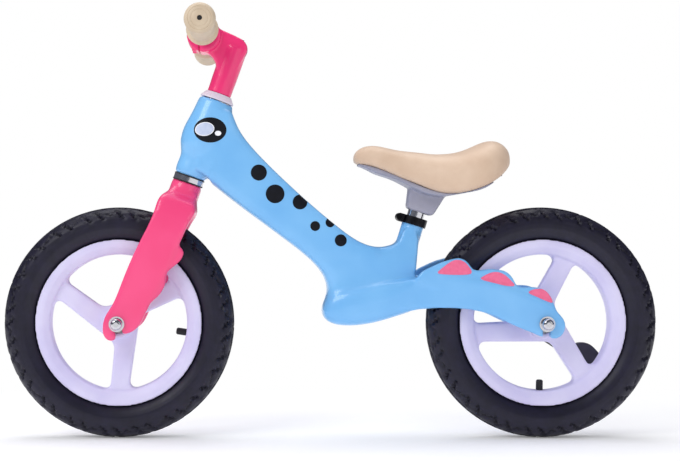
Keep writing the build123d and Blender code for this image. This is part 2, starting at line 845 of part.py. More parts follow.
def make_wheel(name, hub, spoke_angle, valve_angle):
    """All the pieces of one wheel, from its axle to its tyre."""
    side = Plane(spatial(hub), x_dir=(1, 0, 0), z_dir=(0, -1, 0))
    section = Plane(spatial(hub), x_dir=(0, 1, 0), z_dir=(-1, 0, 0))
    hub_axis = Axis(spatial(hub), (0, 1, 0))
    valve_line = Plane(spatial(hub), x_dir=(0, 1, 0),
                       z_dir=(cos(radians(valve_angle)), 0, sin(radians(valve_angle))))
    tyre_center = wheel_radius - tyre_half_width
    cavity = tyre_half_width - tyre_wall

    with BuildPart() as rim:
        with BuildSketch(section):
            with BuildLine():
                Polyline(
                    (-rim_half_width, flange_radius),
                    (-rim_half_width + rim_wall, flange_radius),
                    (-rim_half_width + rim_wall, bead_radius),
                    (-6, bead_radius),
                    (-4, bead_radius - well_depth),
                    (4, bead_radius - well_depth),
                    (6, bead_radius),
                    (rim_half_width - rim_wall, bead_radius),
                    (rim_half_width - rim_wall, flange_radius),
                    (rim_half_width, flange_radius),
                    (rim_half_width, flange_radius - 9),
                    (rim_half_width - 5, rim_inner_radius),
                    (-rim_half_width + 5, rim_inner_radius),
                    (-rim_half_width, flange_radius - 9),
                    (-rim_half_width, flange_radius),
                )
            make_face()
        revolve(axis=hub_axis)
        with BuildSketch(side):
            Circle(rim_inner_radius + 1.5)
            for turn in range(3):
                add(spoke_window(spoke_angle + 120 * turn), mode=Mode.SUBTRACT)
        extrude(amount=spoke_half_thickness, both=True)
        with BuildSketch(side):
            Circle(hub_radius)
        extrude(amount=hub_half_length, both=True)
        with BuildSketch(side):
            Circle(axle_radius + 4)
        extrude(amount=hub_half_length + 1, both=True, mode=Mode.SUBTRACT)
        for end in (-1, 1):
            with BuildSketch(side.offset(end * hub_half_length)):
                Circle(bearing_outer_radius)
            extrude(amount=-end * bearing_width, mode=Mode.SUBTRACT)
        with BuildSketch(valve_line.offset(rim_inner_radius - 5)):
            Circle(valve_radius + hole_slack)
        extrude(amount=20, mode=Mode.SUBTRACT)
    finish_part(rim, name + "_rim")

    with BuildPart() as tyre:
        with BuildSketch(section):
            with Locations((0, tyre_center)):
                Circle(tyre_half_width)
            with Locations((0, (bead_radius + tyre_center) / 2)):
                Rectangle(2 * (rim_half_width - rim_wall), tyre_center - bead_radius)
            with Locations((0, tyre_center)):
                Circle(cavity, mode=Mode.SUBTRACT)
            with Locations((0, bead_radius)):
                Rectangle(bead_opening, 24, mode=Mode.SUBTRACT)
        revolve(axis=hub_axis)
    finish_part(tyre, name + "_tyre")

    with BuildPart() as tube:
        with BuildSketch(section):
            with Locations((0, tyre_center)):
                Circle(cavity - slack)
                Circle(cavity - slack - tube_wall, mode=Mode.SUBTRACT)
        revolve(axis=hub_axis)
        with BuildSketch(valve_line.offset(bead_radius)):
            Circle(valve_radius - 1)
        extrude(amount=tyre_center - bead_radius, mode=Mode.SUBTRACT)
    finish_part(tube, name + "_inner_tube")

    valve_base = tyre_center - cavity + slack
    with BuildPart() as valve:
        stem_foot = valve_tip_radius + valve_cap_length
        ring(valve_line.offset(stem_foot), 0, valve_radius, valve_base - stem_foot - 1)
        ring(valve_line.offset(valve_base - 1.2), 0, valve_radius - 1, 4)
        ring(valve_line.offset(valve_tip_radius), 0, valve_radius + 0.5, valve_cap_length)
        fillet(valve.faces().sort_by(Axis(spatial(hub), valve_line.z_dir))[0].edges(), 2.5)
    finish_part(valve, name + "_valve")

    with BuildPart() as bearings:
        for end in (-1, 1):
            with BuildSketch(side.offset(end * hub_half_length)):
                Circle(bearing_outer_radius)
                Circle(axle_radius + running, mode=Mode.SUBTRACT)
            extrude(amount=-end * bearing_width)
    finish_part(bearings, name + "_hub_bearings")

    with BuildPart() as spacer:
        with BuildSketch(side):
            Circle(axle_radius + 2.5)
            Circle(axle_radius + running, mode=Mode.SUBTRACT)
        extrude(amount=hub_half_length - bearing_width, both=True)
    finish_part(spacer, name + "_hub_spacer")

    with BuildPart() as cones:
        for end in (-1, 1):
            with BuildSketch(side.offset(end * blade_inner)):
                Circle(axle_radius + 3)
                Circle(axle_radius, mode=Mode.SUBTRACT)
            extrude(amount=-end * (blade_inner - hub_half_length - slack))
    finish_part(cones, name + "_axle_cones")

    with BuildPart() as axle:
        with BuildSketch(side):
            Circle(axle_radius)
        extrude(amount=blade_outer + nut_height, both=True)
    finish_part(axle, name + "_axle")

    with BuildPart() as nuts:
        for end in (-1, 1):
            seat_face = Plane(spatial(hub, end * blade_outer), x_dir=(1, 0, 0), z_dir=(0, end, 0))
            ring(seat_face, axle_radius, nut_flange_radius, nut_flange)
            ring(seat_face, axle_radius, nut_radius, nut_height)
            ring(seat_face.offset(nut_height), 0, nut_radius, nut_cap)
            tops = nuts.faces().sort_by(Axis.Y)
            fillet(tops[-1 if end > 0 else 0].edges(), nut_cap - 0.5)
    finish_part(nuts, name + "_axle_nuts")


make_wheel("front", front_hub, 30, 351.4)
make_wheel("rear", rear_hub, 68.5, 269)

# ---------------------------------------------------------------- saddle and its post
post_start = clamp_height - post_insertion
post_length = post_insertion + post_exposed + post_in_saddle
with BuildPart() as post:
    ring(seat_level(post_start), seat_post_radius - seat_post_wall, seat_post_radius, post_length)
finish_part(post, "seat_post")

with BuildPart() as clamp:
    with BuildSketch(seat_level(slack)):
        Circle(seat_tube_radius + clamp_wall)
        with Locations(((seat_tube_radius + clamp_bolt_reach) / 2, 0)):
            Rectangle(clamp_ear_reach + 2, 2 * clamp_ear_half)
    extrude(amount=clamp_height - slack)
    with BuildSketch(seat_side):
        with Locations((clamp_bolt_reach, (clamp_height + slack) / 2)):
            Circle((clamp_height - slack) / 2)
    extrude(amount=clamp_ear_half, both=True)
    with BuildSketch(seat_level(-1)):
        Circle(seat_tube_radius)
        with Locations((seat_tube_radius + 8, 0)):
            Rectangle(20, seat_slit)
    extrude(amount=clamp_height + 2, mode=Mode.SUBTRACT)
    with BuildSketch(seat_side):
        with Locations((clamp_bolt_reach, (clamp_height + slack) / 2)):
            Circle(clamp_bolt_radius)
    extrude(amount=clamp_ear_half + 1, both=True, mode=Mode.SUBTRACT)
finish_part(clamp, "seat_clamp")

with BuildPart() as clamp_bolt:
    with BuildSketch(seat_side.offset(-clamp_ear_half)):
        with Locations((clamp_bolt_reach, (clamp_height + slack) / 2)):
            Circle(clamp_bolt_radius)
    extrude(amount=2 * clamp_ear_half + 3)
    with BuildSketch(seat_side.offset(-clamp_ear_half)):
        with Locations((clamp_bolt_reach, (clamp_height + slack) / 2)):
            Circle(bolt_head * clamp_bolt_radius)
    extrude(amount=-4)
    with BuildSketch(seat_side.offset(-clamp_ear_half - 2)):
        with Locations((clamp_bolt_reach, (clamp_height + slack) / 2)):
            RegularPolygon(2.6, 6)
    extrude(amount=-3, mode=Mode.SUBTRACT)
finish_part(clamp_bolt, "seat_clamp_bolt")

with BuildPart() as clamp_nut:
    with BuildSketch(seat_side.offset(clamp_ear_half)):
        with Locations((clamp_bolt_reach, (clamp_height + slack) / 2)):
            RegularPolygon(bolt_head * clamp_bolt_radius, 6)
            Circle(clamp_bolt_radius, mode=Mode.SUBTRACT)
    extrude(amount=3)
finish_part(clamp_nut, "seat_clamp_nut")

# Sections of the saddle from nose to tail: distance behind the pedestal's foot, half width,
# height of the top and of the skirt's edge above that foot.
socket_foot = clamp_height + post_exposed
saddle_foot = seat(0, socket_foot + socket_lip)
saddle_sections = [
    (-84, 9, 69, 60),
    (-79, 17, 76, 59.5),
    (-68, 22.5, 81.5, 58),
    (-44, 28, 80, 50),
    (-14, 36, 74.5, 37),
    (16, 48, 71, 24.5),
    (40, 58, 71.5, 20.5),
    (66, 65, 78.5, 25),
    (88, 65, 87.5, 34),
    (104, 54, 86, 45),
    (116, 27, 74, 56),
]


def saddle_section(reach, half_width, top, edge):
    """One closed cross-section, crowned on top and straight along its lower edge."""
    height = top - edge
    station = Plane((saddle_foot[0] + reach, 0, saddle_foot[1]), x_dir=(0, 1, 0), z_dir=(1, 0, 0))
    with BuildSketch(station) as section:
        with BuildLine():
            Spline(
                (-half_width * skirt_narrowing, edge),
                (-half_width, edge + height * 0.35),
                (-half_width * 0.86, edge + height * 0.76),
                (-half_width * 0.45, edge + height * 0.96),
                (0, top),
                (half_width * 0.45, edge + height * 0.96),
                (half_width * 0.86, edge + height * 0.76),
                (half_width, edge + height * 0.35),
                (half_width * skirt_narrowing, edge),
            )
            Line((half_width * skirt_narrowing, edge), (-half_width * skirt_narrowing, edge))
        make_face()
    return section.sketch


with BuildPart() as saddle_cover:
    loft([saddle_section(*section) for section in saddle_sections])
finish_part(saddle_cover, "saddle_cover")

with BuildPart() as saddle_base:
    for reach, half_width, top, edge in saddle_sections[1:-1]:
        plate = tail_plate if reach > plate_change else nose_plate
        with BuildSketch(Plane((saddle_foot[0] + reach, 0, saddle_foot[1]), x_dir=(0, 1, 0),
                               z_dir=(1, 0, 0))):
            with Locations((0, edge - saddle_gap - plate / 2)):
                Rectangle(1.8 * half_width, plate)
    loft()
    with BuildSketch(Plane.XZ):
        with BuildLine():
            Polyline(
                seat(seat_post_radius + socket_wall, socket_foot + 1.8),
                seat(seat_post_radius - 1.8, socket_foot),
                seat(-seat_post_radius - 7, socket_foot),
                seat(-seat_post_radius - 9.5, socket_foot + 2.5),
                seat(-seat_post_radius - 16.5, socket_foot + 27),
                seat(-3, socket_foot + 27),
                seat(seat_post_radius + 8, socket_foot + 28),
                seat(seat_post_radius + socket_wall, socket_foot + 1.8),
            )
        make_face()
    extrude(amount=seat_post_radius + 4.5, both=True)
    with BuildSketch(seat_level(0)):
        Circle(seat_post_radius)
    extrude(amount=clamp_height + post_exposed + post_in_saddle, mode=Mode.SUBTRACT)
finish_part(saddle_base, "saddle_base")

# ---------------------------------------------------------------- side stand, on the right stay
stand_a = radians(stand_fold_angle)
stand_pivot = near_rear(-28, 3)
stand_eye_y = blade_outer + stand_plate + slack


def stand_point(along, across):
    """World X, Z along the folded leg from its pivot and across it, upwards."""
    x = stand_pivot[0] + along * cos(stand_a) - across * sin(stand_a)
    return (x, stand_pivot[1] + along * sin(stand_a) + across * cos(stand_a))


def right_side(y):
    return Plane((0, y, 0), x_dir=(1, 0, 0), z_dir=(0, -1, 0))


with BuildPart() as bracket:
    with BuildSketch(right_side(blade_outer)):
        with BuildLine():
            Polyline(
                near_rear(-46, 10),
                near_rear(-44, 23),
                near_rear(-26, 30),
                near_rear(-13, 29),
                near_rear(-16, 10),
                near_rear(-20, -4),
                near_rear(-34, -5),
                near_rear(-46, 10),
            )
        make_face()
        with Locations(stand_pivot):
            Circle(stand_pivot_radius, mode=Mode.SUBTRACT)
        with Locations(*plate_bolts):
            Circle(cap_bolt_radius, mode=Mode.SUBTRACT)
    extrude(amount=-stand_plate)
finish_part(bracket, "stand_bracket")

with BuildPart() as bracket_bolts:
    with BuildSketch(right_side(blade_outer - plate_bolt_depth)):
        with Locations(*plate_bolts):
            Circle(cap_bolt_radius)
    extrude(amount=-plate_bolt_depth - stand_plate)
    with BuildSketch(right_side(blade_outer + stand_plate)):
        with Locations(*plate_bolts):
            Circle(bolt_head * cap_bolt_radius)
    extrude(amount=-2.2)
finish_part(bracket_bolts, "stand_bracket_bolts")

with BuildPart() as pivot_bolt:
    with BuildSketch(right_side(blade_outer)):
        with Locations(stand_pivot):
            Circle(stand_pivot_radius)
    extrude(amount=-stand_plate - slack - stand_eye_width - slack)
    with BuildSketch(right_side(stand_eye_y + stand_eye_width + slack)):
        with Locations(stand_pivot):
            RegularPolygon(stand_eye_radius - 1, 6)
    extrude(amount=-5)
finish_part(pivot_bolt, "stand_pivot_bolt")

leg_y = stand_eye_y + stand_eye_width / 2
leg_top = Vector(*spatial(stand_point(4, 0), leg_y))
leg_end = Vector(*spatial(stand_point(stand_length, 0), leg_y + stand_splay))
leg_run = leg_end - leg_top
with BuildPart() as leg:
    with BuildSketch(right_side(stand_eye_y)):
        with Locations(stand_pivot):
            Circle(stand_eye_radius)
    extrude(amount=-stand_eye_width)
    ring(Plane(leg_top, z_dir=leg_run), 0, stand_leg_radius, leg_run.length)
    with BuildSketch(right_side(stand_eye_y - 1)):
        with Locations(stand_pivot):
            Circle(stand_pivot_radius + running)
    extrude(amount=-stand_eye_width - 2, mode=Mode.SUBTRACT)
finish_part(leg, "stand_leg")

pad_y = leg_y + stand_splay - pad_thickness / 2
pad_outline = [(-27, 8), (-27, 15), (-19, 23), (-11, 25.8), (-1, 24.8), (9, 21.5), (21, 14), (29, 2),
               (26, -10), (13, -16), (-4, -16.5), (-22, -11)]
with BuildPart() as pad:
    with BuildSketch(right_side(pad_y)):
        with BuildLine():
            Spline(*[stand_point(stand_length + along, across) for along, across in pad_outline],
                   periodic=True)
        make_face()
    extrude(amount=-pad_thickness)
    add(leg.part, mode=Mode.SUBTRACT)
finish_part(pad, "stand_foot")
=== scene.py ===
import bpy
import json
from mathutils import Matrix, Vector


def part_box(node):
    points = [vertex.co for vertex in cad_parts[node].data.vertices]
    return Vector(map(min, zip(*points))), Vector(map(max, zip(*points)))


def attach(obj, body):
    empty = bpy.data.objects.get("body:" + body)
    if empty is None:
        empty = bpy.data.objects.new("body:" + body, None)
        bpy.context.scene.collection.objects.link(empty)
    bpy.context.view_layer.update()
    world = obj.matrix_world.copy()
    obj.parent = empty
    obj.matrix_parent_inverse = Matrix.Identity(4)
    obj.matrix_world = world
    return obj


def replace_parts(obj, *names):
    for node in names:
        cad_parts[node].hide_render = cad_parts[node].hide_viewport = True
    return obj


bl_info = {
    "name": "Balance bike",
    "version": (1, 0, 0),
    "blender": (4, 5, 0),
    "location": "View3D > Sidebar > Bike",
    "description": "Finishes the castings, wheels, saddle, grips and stickers of a child's balance bike",
    "category": "Object",
}

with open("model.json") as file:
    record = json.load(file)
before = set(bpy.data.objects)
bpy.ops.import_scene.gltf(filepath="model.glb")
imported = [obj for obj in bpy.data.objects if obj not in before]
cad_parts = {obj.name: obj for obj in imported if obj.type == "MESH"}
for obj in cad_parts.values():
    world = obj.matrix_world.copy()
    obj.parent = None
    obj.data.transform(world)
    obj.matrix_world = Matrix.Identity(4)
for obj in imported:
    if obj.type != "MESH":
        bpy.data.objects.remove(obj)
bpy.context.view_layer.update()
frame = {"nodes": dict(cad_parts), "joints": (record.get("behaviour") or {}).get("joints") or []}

import json
from math import cos, pi, radians, sin

import bpy
import numpy as np
from mathutils import Vector
from mathutils.bvhtree import BVHTree

MM = 0.001
JOINTS = {joint["name"]: joint for joint in frame["joints"]}
STEER_FOOT = Vector(JOINTS["steering"]["pos_m"])        # the head tube's lower end
STEER_AXIS = Vector(JOINTS["steering"]["axis"])
SEAT_AXIS = Vector(JOINTS["seat_height"]["axis"])
BAR_CENTER = Vector(JOINTS["bar_tilt"]["pos_m"])
FRONT_HUB = Vector(JOINTS["front_wheel_spin"]["pos_m"])
REAR_HUB = Vector(JOINTS["rear_wheel_spin"]["pos_m"])


# ------------------------------------------------------------------ small tools
def linear(colour, alpha=1.0):
    """A six-figure sRGB hex colour as linear red, green, blue and alpha."""
    parts = [int(colour[i:i + 2], 16) / 255 for i in (0, 2, 4)]
    return [p / 12.92 if p <= 0.04045 else ((p + 0.055) / 1.055) ** 2.4 for p in parts] + [alpha]


def add_node(tree, kind, settings=None, links=None):
    """Adds a shader node, sets its properties and sockets, and links sockets to other nodes' outputs."""
    made = tree.nodes.new("ShaderNode" + kind)
    for name, value in (settings or {}).items():
        if name in made.inputs:
            made.inputs[name].default_value = value
        else:
            setattr(made, name, value)
    for name, source in (links or {}).items():
        tree.links.new(source, made.inputs[name])
    return made


def new_material(name, **shader):
    """An empty node material with one Principled shader; returns it, its tree and the shader."""
    made = bpy.data.materials.new(name)
    made.use_nodes = True
    tree = made.node_tree
    tree.nodes.clear()
    surface = add_node(tree, "BsdfPrincipled", {k.replace("_", " "): v for k, v in shader.items()})
    add_node(tree, "OutputMaterial", links={"Surface": surface.outputs["BSDF"]})
    return made, tree, surface


def object_place(tree, scale):
    """Places on the object itself, scaled."""
    place = add_node(tree, "TexCoord")
    mapping = add_node(tree, "Mapping", {"Scale": scale}, {"Vector": place.outputs["Object"]})
    return mapping.outputs["Vector"]


def noise(tree, size_mm, detail=4.0, roughness=0.5, stretch=(1, 1, 1)):
    """Noise whose lumps are about size_mm across."""
    scale = tuple(s / (size_mm * MM) for s in stretch)
    found = add_node(tree, "TexNoise", {"Scale": 1.0, "Detail": detail, "Roughness": roughness},
                     {"Vector": object_place(tree, scale)})
    return found.outputs["Fac"]


def tinted(tree, surface, fac, dark, light, low=0.35, high=0.65):
    """Varies the base colour between two tones with a pattern."""
    ramp = add_node(tree, "ValToRGB", links={"Fac": fac})
    ramp.color_ramp.elements[0].position = low
    ramp.color_ramp.elements[0].color = linear(dark)
    ramp.color_ramp.elements[1].position = high
    ramp.color_ramp.elements[1].color = linear(light)
    tree.links.new(ramp.outputs["Color"], surface.inputs["Base Color"])


def rough_between(tree, surface, fac, low, high):
    spread = add_node(tree, "MapRange", {"To Min": low, "To Max": high}, {"Value": fac})
    tree.links.new(spread.outputs["Result"], surface.inputs["Roughness"])


def bumped(tree, surface, height, depth_mm, strength=0.5):
    bump = add_node(tree, "Bump", {"Strength": strength, "Distance": depth_mm * MM}, {"Height": height})
    tree.links.new(bump.outputs["Normal"], surface.inputs["Normal"])


# ------------------------------------------------------------------ materials
def gloss_enamel(name, dark, light):
    """Sprayed enamel under clear lacquer on a casting: soft gloss with a faint orange peel."""
    made, tree, surface = new_material(name, Roughness=0.34, Coat_Weight=0.5, Coat_Roughness=0.12)
    tinted(tree, surface, noise(tree, 60, 2), dark, light)
    bumped(tree, surface, noise(tree, 1.6, 2), 0.05, 0.25)
    rough_between(tree, surface, noise(tree, 9, 3), 0.3, 0.4)
    return made


def moulded_nylon(name, dark, light):
    """Glass-filled nylon from a spark-eroded mould: an even low sheen with fine grain."""
    made, tree, surface = new_material(name, Roughness=0.42, Subsurface_Weight=0.06,
                                       Subsurface_Radius=(0.01, 0.008, 0.012), Subsurface_Scale=0.3)
    tinted(tree, surface, noise(tree, 45, 3), dark, light)
    bumped(tree, surface, noise(tree, 0.7, 2), 0.05, 0.3)
    rough_between(tree, surface, noise(tree, 12, 3), 0.36, 0.5)
    return made


def tread_rubber():
    """Vulcanised tyre rubber: near black, with painted shade darkening the grooves, and slightly shiny on
    the sidewall.
    """
    made, tree, surface = new_material("vulcanised_tyre_rubber", Roughness=0.5)
    surface.inputs["Specular IOR Level"].default_value = 0.45
    tinted(tree, surface, noise(tree, 14, 6, 0.65), "0D0A20", "1A1632", 0.3, 0.75)
    # Painted shade: an ambient occlusion node darkens the base colour in the grooves and hollows, which
    # leaves the lugs lighter.
    painted_groove_shade = add_node(tree, "AmbientOcclusion", {"Distance": 0.005})
    tree.links.new(surface.inputs["Base Color"].links[0].from_socket, painted_groove_shade.inputs["Color"])
    tree.links.new(painted_groove_shade.outputs["Color"], surface.inputs["Base Color"])
    bumped(tree, surface, noise(tree, 0.9, 4, 0.6), 0.1, 0.4)
    rough_between(tree, surface, noise(tree, 6, 4), 0.38, 0.55)
    return made


def moulded_rubber(name, dark, light, grain_mm=0.6, roughness=0.6):
    """Soft moulded rubber: matt, with a fine grain from the mould."""
    made, tree, surface = new_material(name, Roughness=roughness, Sheen_Weight=0.1, Sheen_Roughness=0.5)
    tinted(tree, surface, noise(tree, 20, 3), dark, light)
    bumped(tree, surface, noise(tree, grain_mm, 2), 0.06, 0.35)
    rough_between(tree, surface, noise(tree, 5, 3), roughness - 0.07, roughness + 0.08)
    return made


def grained_leatherette(dark, light):
    """Embossed polyurethane leatherette: pebble grain about 1.1 mm across, drawn 1.4 mm to show."""
    made, tree, surface = new_material("embossed_leatherette", Roughness=0.5, Sheen_Weight=0.12,
                                       Sheen_Roughness=0.4)
    tinted(tree, surface, noise(tree, 35, 4), dark, light)
    cells = add_node(tree, "TexVoronoi", {"feature": "SMOOTH_F1", "Scale": 1.0, "Randomness": 1.0},
                     {"Vector": object_place(tree, (1 / (1.4 * MM),) * 3)})
    bumped(tree, surface, cells.outputs["Distance"], 0.12, 0.35)
    rough_between(tree, surface, noise(tree, 8, 3), 0.44, 0.58)
    return made


def plated_chrome():
    """Bright nickel-chrome plate: mirror sharp, with very faint polishing haze."""
    made, tree, surface = new_material("plated_chrome", Metallic=1.0, Roughness=0.12)
    surface.inputs["Base Color"].default_value = linear("D4D4DA")
    rough_between(tree, surface, noise(tree, 4, 5, 0.6), 0.07, 0.2)
    bumped(tree, surface, noise(tree, 2.5, 3), 0.01, 0.2)
    return made


def turned_steel():
    """Turned and oiled steel: fine lathe rings in the roughness."""
    made, tree, surface = new_material("turned_steel", Metallic=1.0, Roughness=0.32)
    tinted(tree, surface, noise(tree, 3, 4), "8C8C90", "A9A9AD")
    bumped(tree, surface, noise(tree, 0.4, 2, stretch=(0.2, 1, 0.2)), 0.02, 0.3)
    rough_between(tree, surface, noise(tree, 2, 4), 0.24, 0.42)
    return made


def black_finish(name, metallic, roughness, dark="0C0C10", light="1D1D24"):
    """Black anodising, oxide or powder coat: deep black with a broken satin sheen."""
    made, tree, surface = new_material(name, Metallic=metallic, Roughness=roughness)
    tinted(tree, surface, noise(tree, 7, 4), dark, light)
    bumped(tree, surface, noise(tree, 0.5, 3), 0.03, 0.35)
    rough_between(tree, surface, noise(tree, 3, 4), roughness - 0.08, roughness + 0.1)
    return made


def printed_film(name, dark, light, roughness=0.5):
    """Printed vinyl film: flat colour under a thin gloss, faintly mottled."""
    made, tree, surface = new_material(name, Roughness=roughness)
    surface.inputs["Specular IOR Level"].default_value = 0.25
    tinted(tree, surface, noise(tree, 5, 3), dark, light)
    bumped(tree, surface, noise(tree, 1.2, 2), 0.01, 0.2)
    return made


def shading_floor():
    """Pale paper that takes the shadows near the wheels and fades to plain white away from them."""
    made, tree, surface = new_material("studio_paper", Roughness=0.9, Emission_Strength=0.16)
    surface.inputs["Specular IOR Level"].default_value = 0.1
    surface.inputs["Emission Color"].default_value = linear("FFFFFF")
    tinted(tree, surface, noise(tree, 400, 3), "F6F6F8", "F9F9FB")
    bumped(tree, surface, noise(tree, 3, 3), 0.1, 0.1)
    where = add_node(tree, "NewGeometry")
    squeezed = add_node(tree, "VectorMath", {"operation": "MULTIPLY"})
    tree.links.new(where.outputs["Position"], squeezed.inputs[0])
    squeezed.inputs[1].default_value = (0.4, 1, 0)
    spread = add_node(tree, "VectorMath", {"operation": "LENGTH"})
    tree.links.new(squeezed.outputs["Vector"], spread.inputs[0])
    far = add_node(tree, "MapRange", {"From Min": 0.2, "From Max": 0.6},
                   {"Value": spread.outputs["Value"]})
    white = add_node(tree, "Emission", {"Color": (1, 1, 1, 1), "Strength": 1.0})
    mixed = add_node(tree, "MixShader")
    tree.links.new(far.outputs["Result"], mixed.inputs[0])
    tree.links.new(surface.outputs["BSDF"], mixed.inputs[1])
    tree.links.new(white.outputs["Emission"], mixed.inputs[2])
    output = next(n for n in tree.nodes if n.bl_idname == "ShaderNodeOutputMaterial")
    tree.links.new(mixed.outputs["Shader"], output.inputs["Surface"])
    return made


MATERIALS = {}


def make_materials(colours):
    MATERIALS.update({
        "frame": gloss_enamel("sprayed_blue_enamel", colours.frame_dark, colours.frame_light),
        "fork": gloss_enamel("sprayed_pink_enamel", colours.fork_dark, colours.fork_light),
        "stem": gloss_enamel("sprayed_rose_enamel", colours.stem_dark, colours.stem_light),
        "wheel": moulded_nylon("moulded_lavender_nylon", colours.wheel_dark, colours.wheel_light),
        "white": moulded_nylon("moulded_white_abs", "DDD2E4", "E9DEEC"),
        "tyre": tread_rubber(),
        "black_rubber": moulded_rubber("moulded_black_rubber", "111116", "1C1C22"),
        "grip": moulded_rubber("moulded_cream_rubber", colours.grip_dark, colours.grip_light, 0.8, 0.55),
        "saddle": grained_leatherette(colours.saddle_dark, colours.saddle_light),
        "grey": moulded_nylon("moulded_grey_polypropylene", "9796A8", "A3A2B3"),
        "dark_plastic": moulded_rubber("moulded_charcoal_polypropylene", "393746", "444252", 0.8, 0.5),
        "chrome": plated_chrome(),
        "steel": turned_steel(),
        "black_coat": black_finish("satin_black_powder_coat", 0.0, 0.42),
        "anodised": black_finish("black_anodised_aluminium", 0.7, 0.36),
        "oxide": black_finish("black_oxide_steel", 0.8, 0.4),
        "film_black": printed_film("printed_black_film", "090B15", "0E101C"),
        "film_white": printed_film("printed_white_film", "F0F2FB", "F8F9FF"),
        "film_lilac": printed_film("printed_lilac_film", "C3CEEA", "CFD9F1"),
        "film_pink": printed_film("printed_pink_film", colours.sticker_dark, colours.sticker_light, 0.4),
    })


# ------------------------------------------------------------------ mesh tools
def deselect_all():
    if bpy.context.object and bpy.context.object.mode != "OBJECT":
        bpy.ops.object.mode_set(mode="OBJECT")
    bpy.ops.object.select_all(action="DESELECT")


def activate(piece):
    deselect_all()
    piece.select_set(True)
    bpy.context.view_layer.objects.active = piece


def new_piece(name, mesh):
    piece = bpy.data.objects.new(name, mesh)
    bpy.context.scene.collection.objects.link(piece)
    activate(piece)
    return piece


def merged_copy(node, name):
    """A copy of a CAD node's mesh as a new piece, with its loose triangles merged."""
    piece = new_piece(name, frame["nodes"][node].data.copy())
    piece.data.materials.clear()
    bpy.ops.object.mode_set(mode="EDIT")
    bpy.ops.mesh.select_all(action="SELECT")
    bpy.ops.mesh.remove_doubles(threshold=0.00002)
    bpy.ops.object.mode_set(mode="OBJECT")
    return piece


def apply_modifier(piece, kind, group=None, **settings):
    made = piece.modifiers.new(kind.lower(), kind)
    for name, value in settings.items():
        setattr(made, name, value)
    if group:
        made.vertex_group = group
    activate(piece)
    bpy.ops.object.modifier_apply(modifier=made.name)


def vertex_places(piece):
    places = np.zeros(len(piece.data.vertices) * 3)
    piece.data.vertices.foreach_get("co", places)
    return places.reshape(-1, 3)


def move_vertices(piece, places):
    piece.data.vertices.foreach_set("co", places.ravel())
    piece.data.update()


def weigh(piece, name, weights):
    """A vertex group holding one weight per vertex, in steps of a fiftieth."""
    group = piece.vertex_groups.new(name=name)
    levels = np.round(np.clip(weights, 0, 1) * 50).astype(int)
    for level in np.unique(levels):
        if level > 0:
            group.add(np.nonzero(levels == level)[0].tolist(), level / 50, "REPLACE")
    return name


def finish_piece(piece, material, smooth_angle=None):
    piece.data.materials.clear()
    piece.data.materials.append(MATERIALS[material])
    piece.vertex_groups.clear()
    activate(piece)
    if smooth_angle is None:
        bpy.ops.object.shade_smooth()
    else:
        bpy.ops.object.shade_smooth_by_angle(angle=radians(smooth_angle))
    deselect_all()
    return piece


def ramp(value, low, high):
    """0 up to low, 1 from high, straight between."""
    return np.clip((value - low) / (high - low), 0, 1)


def axis_places(places, origin, axis):
    """For each point its distance along an axis and its distance from it."""
    rel = places - np.array(origin)
    along = rel @ np.array(axis)
    away = np.linalg.norm(rel - np.outer(along, np.array(axis)), axis=1)
    return along, away


# ------------------------------------------------------------------ castings
def soften_casting(piece, voxel_mm, passes):
    """Voxel remesh, then smoothing passes of (vertex weights, iterations, swell in mm)."""
    apply_modifier(piece, "REMESH", mode="VOXEL", voxel_size=voxel_mm * MM, use_smooth_shade=True)
    for number, (weights_of, iterations, swell) in enumerate(passes):
        group = weigh(piece, "pass" + str(number), weights_of(vertex_places(piece)))
        apply_modifier(piece, "SMOOTH", group, factor=0.6, iterations=iterations)
        if swell:
            apply_modifier(piece, "DISPLACE", group, strength=swell * MM, mid_level=0.0,
                           direction="NORMAL")


def frame_roundness(places):
    """How strongly each part of the frame is rounded: fully on the beam, little at the fits."""
    head_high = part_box("headset_upper_cup")[1]
    along, away = axis_places(places, STEER_FOOT, STEER_AXIS)
    length = (head_high - STEER_FOOT).dot(STEER_AXIS)
    ends = np.minimum(ramp(along, 0.002, 0.03), ramp(length - along, -0.004, 0.022))
    weights = np.where(away < 0.034, 0.35 * ends + 0.65 * ends * ramp(away, 0.024, 0.034), 1.0)
    weights = np.where(away < 0.0185, 0, weights)
    post = (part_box("seat_clamp")[0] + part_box("seat_clamp")[1]) / 2
    post.x = post.x + 0.0025
    up, out = axis_places(places, post, SEAT_AXIS)
    tube = np.clip(ramp(-up, 0.022, 0.05) + ramp(out, 0.019, 0.03), 0, 1)
    weights = np.minimum(weights, tube)
    stay_start = REAR_HUB.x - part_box("rear_tyre")[1].z / 2 - 0.05
    back = ramp(places[:, 0], stay_start, stay_start + 0.035)
    weights = weights * (1 - back) + back * np.minimum(weights, 0.07)
    hub = np.hypot(places[:, 0] - REAR_HUB.x, places[:, 2] - REAR_HUB.z)
    return np.where(hub < 0.011, 0, weights)


def toe_roundness(places):
    """The band's edge fades into the beam from the toe back to the stays."""
    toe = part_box("frame")[0].z
    edge = REAR_HUB.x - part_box("rear_tyre")[1].z / 2 - 0.015
    return ramp(-places[:, 0], -edge, -edge + 0.06) * ramp(-places[:, 2], -toe - 0.1, -toe - 0.075)


def all_over(strength):
    return lambda places: np.full(len(places), strength)


def away_from_fits(places, hub, keep, foot, axis, low, high):
    """One everywhere except round an axle and past the two ends of a turned fit."""
    near = np.hypot(places[:, 0] - hub.x, places[:, 2] - hub.z)
    along, away = axis_places(places, foot, axis)
    ends = np.minimum(ramp(along, low, low + 0.004), ramp(high - along, 0, 0.004))
    return np.where(near < keep, 0, np.where(away < 0.0215, ends, 1.0))


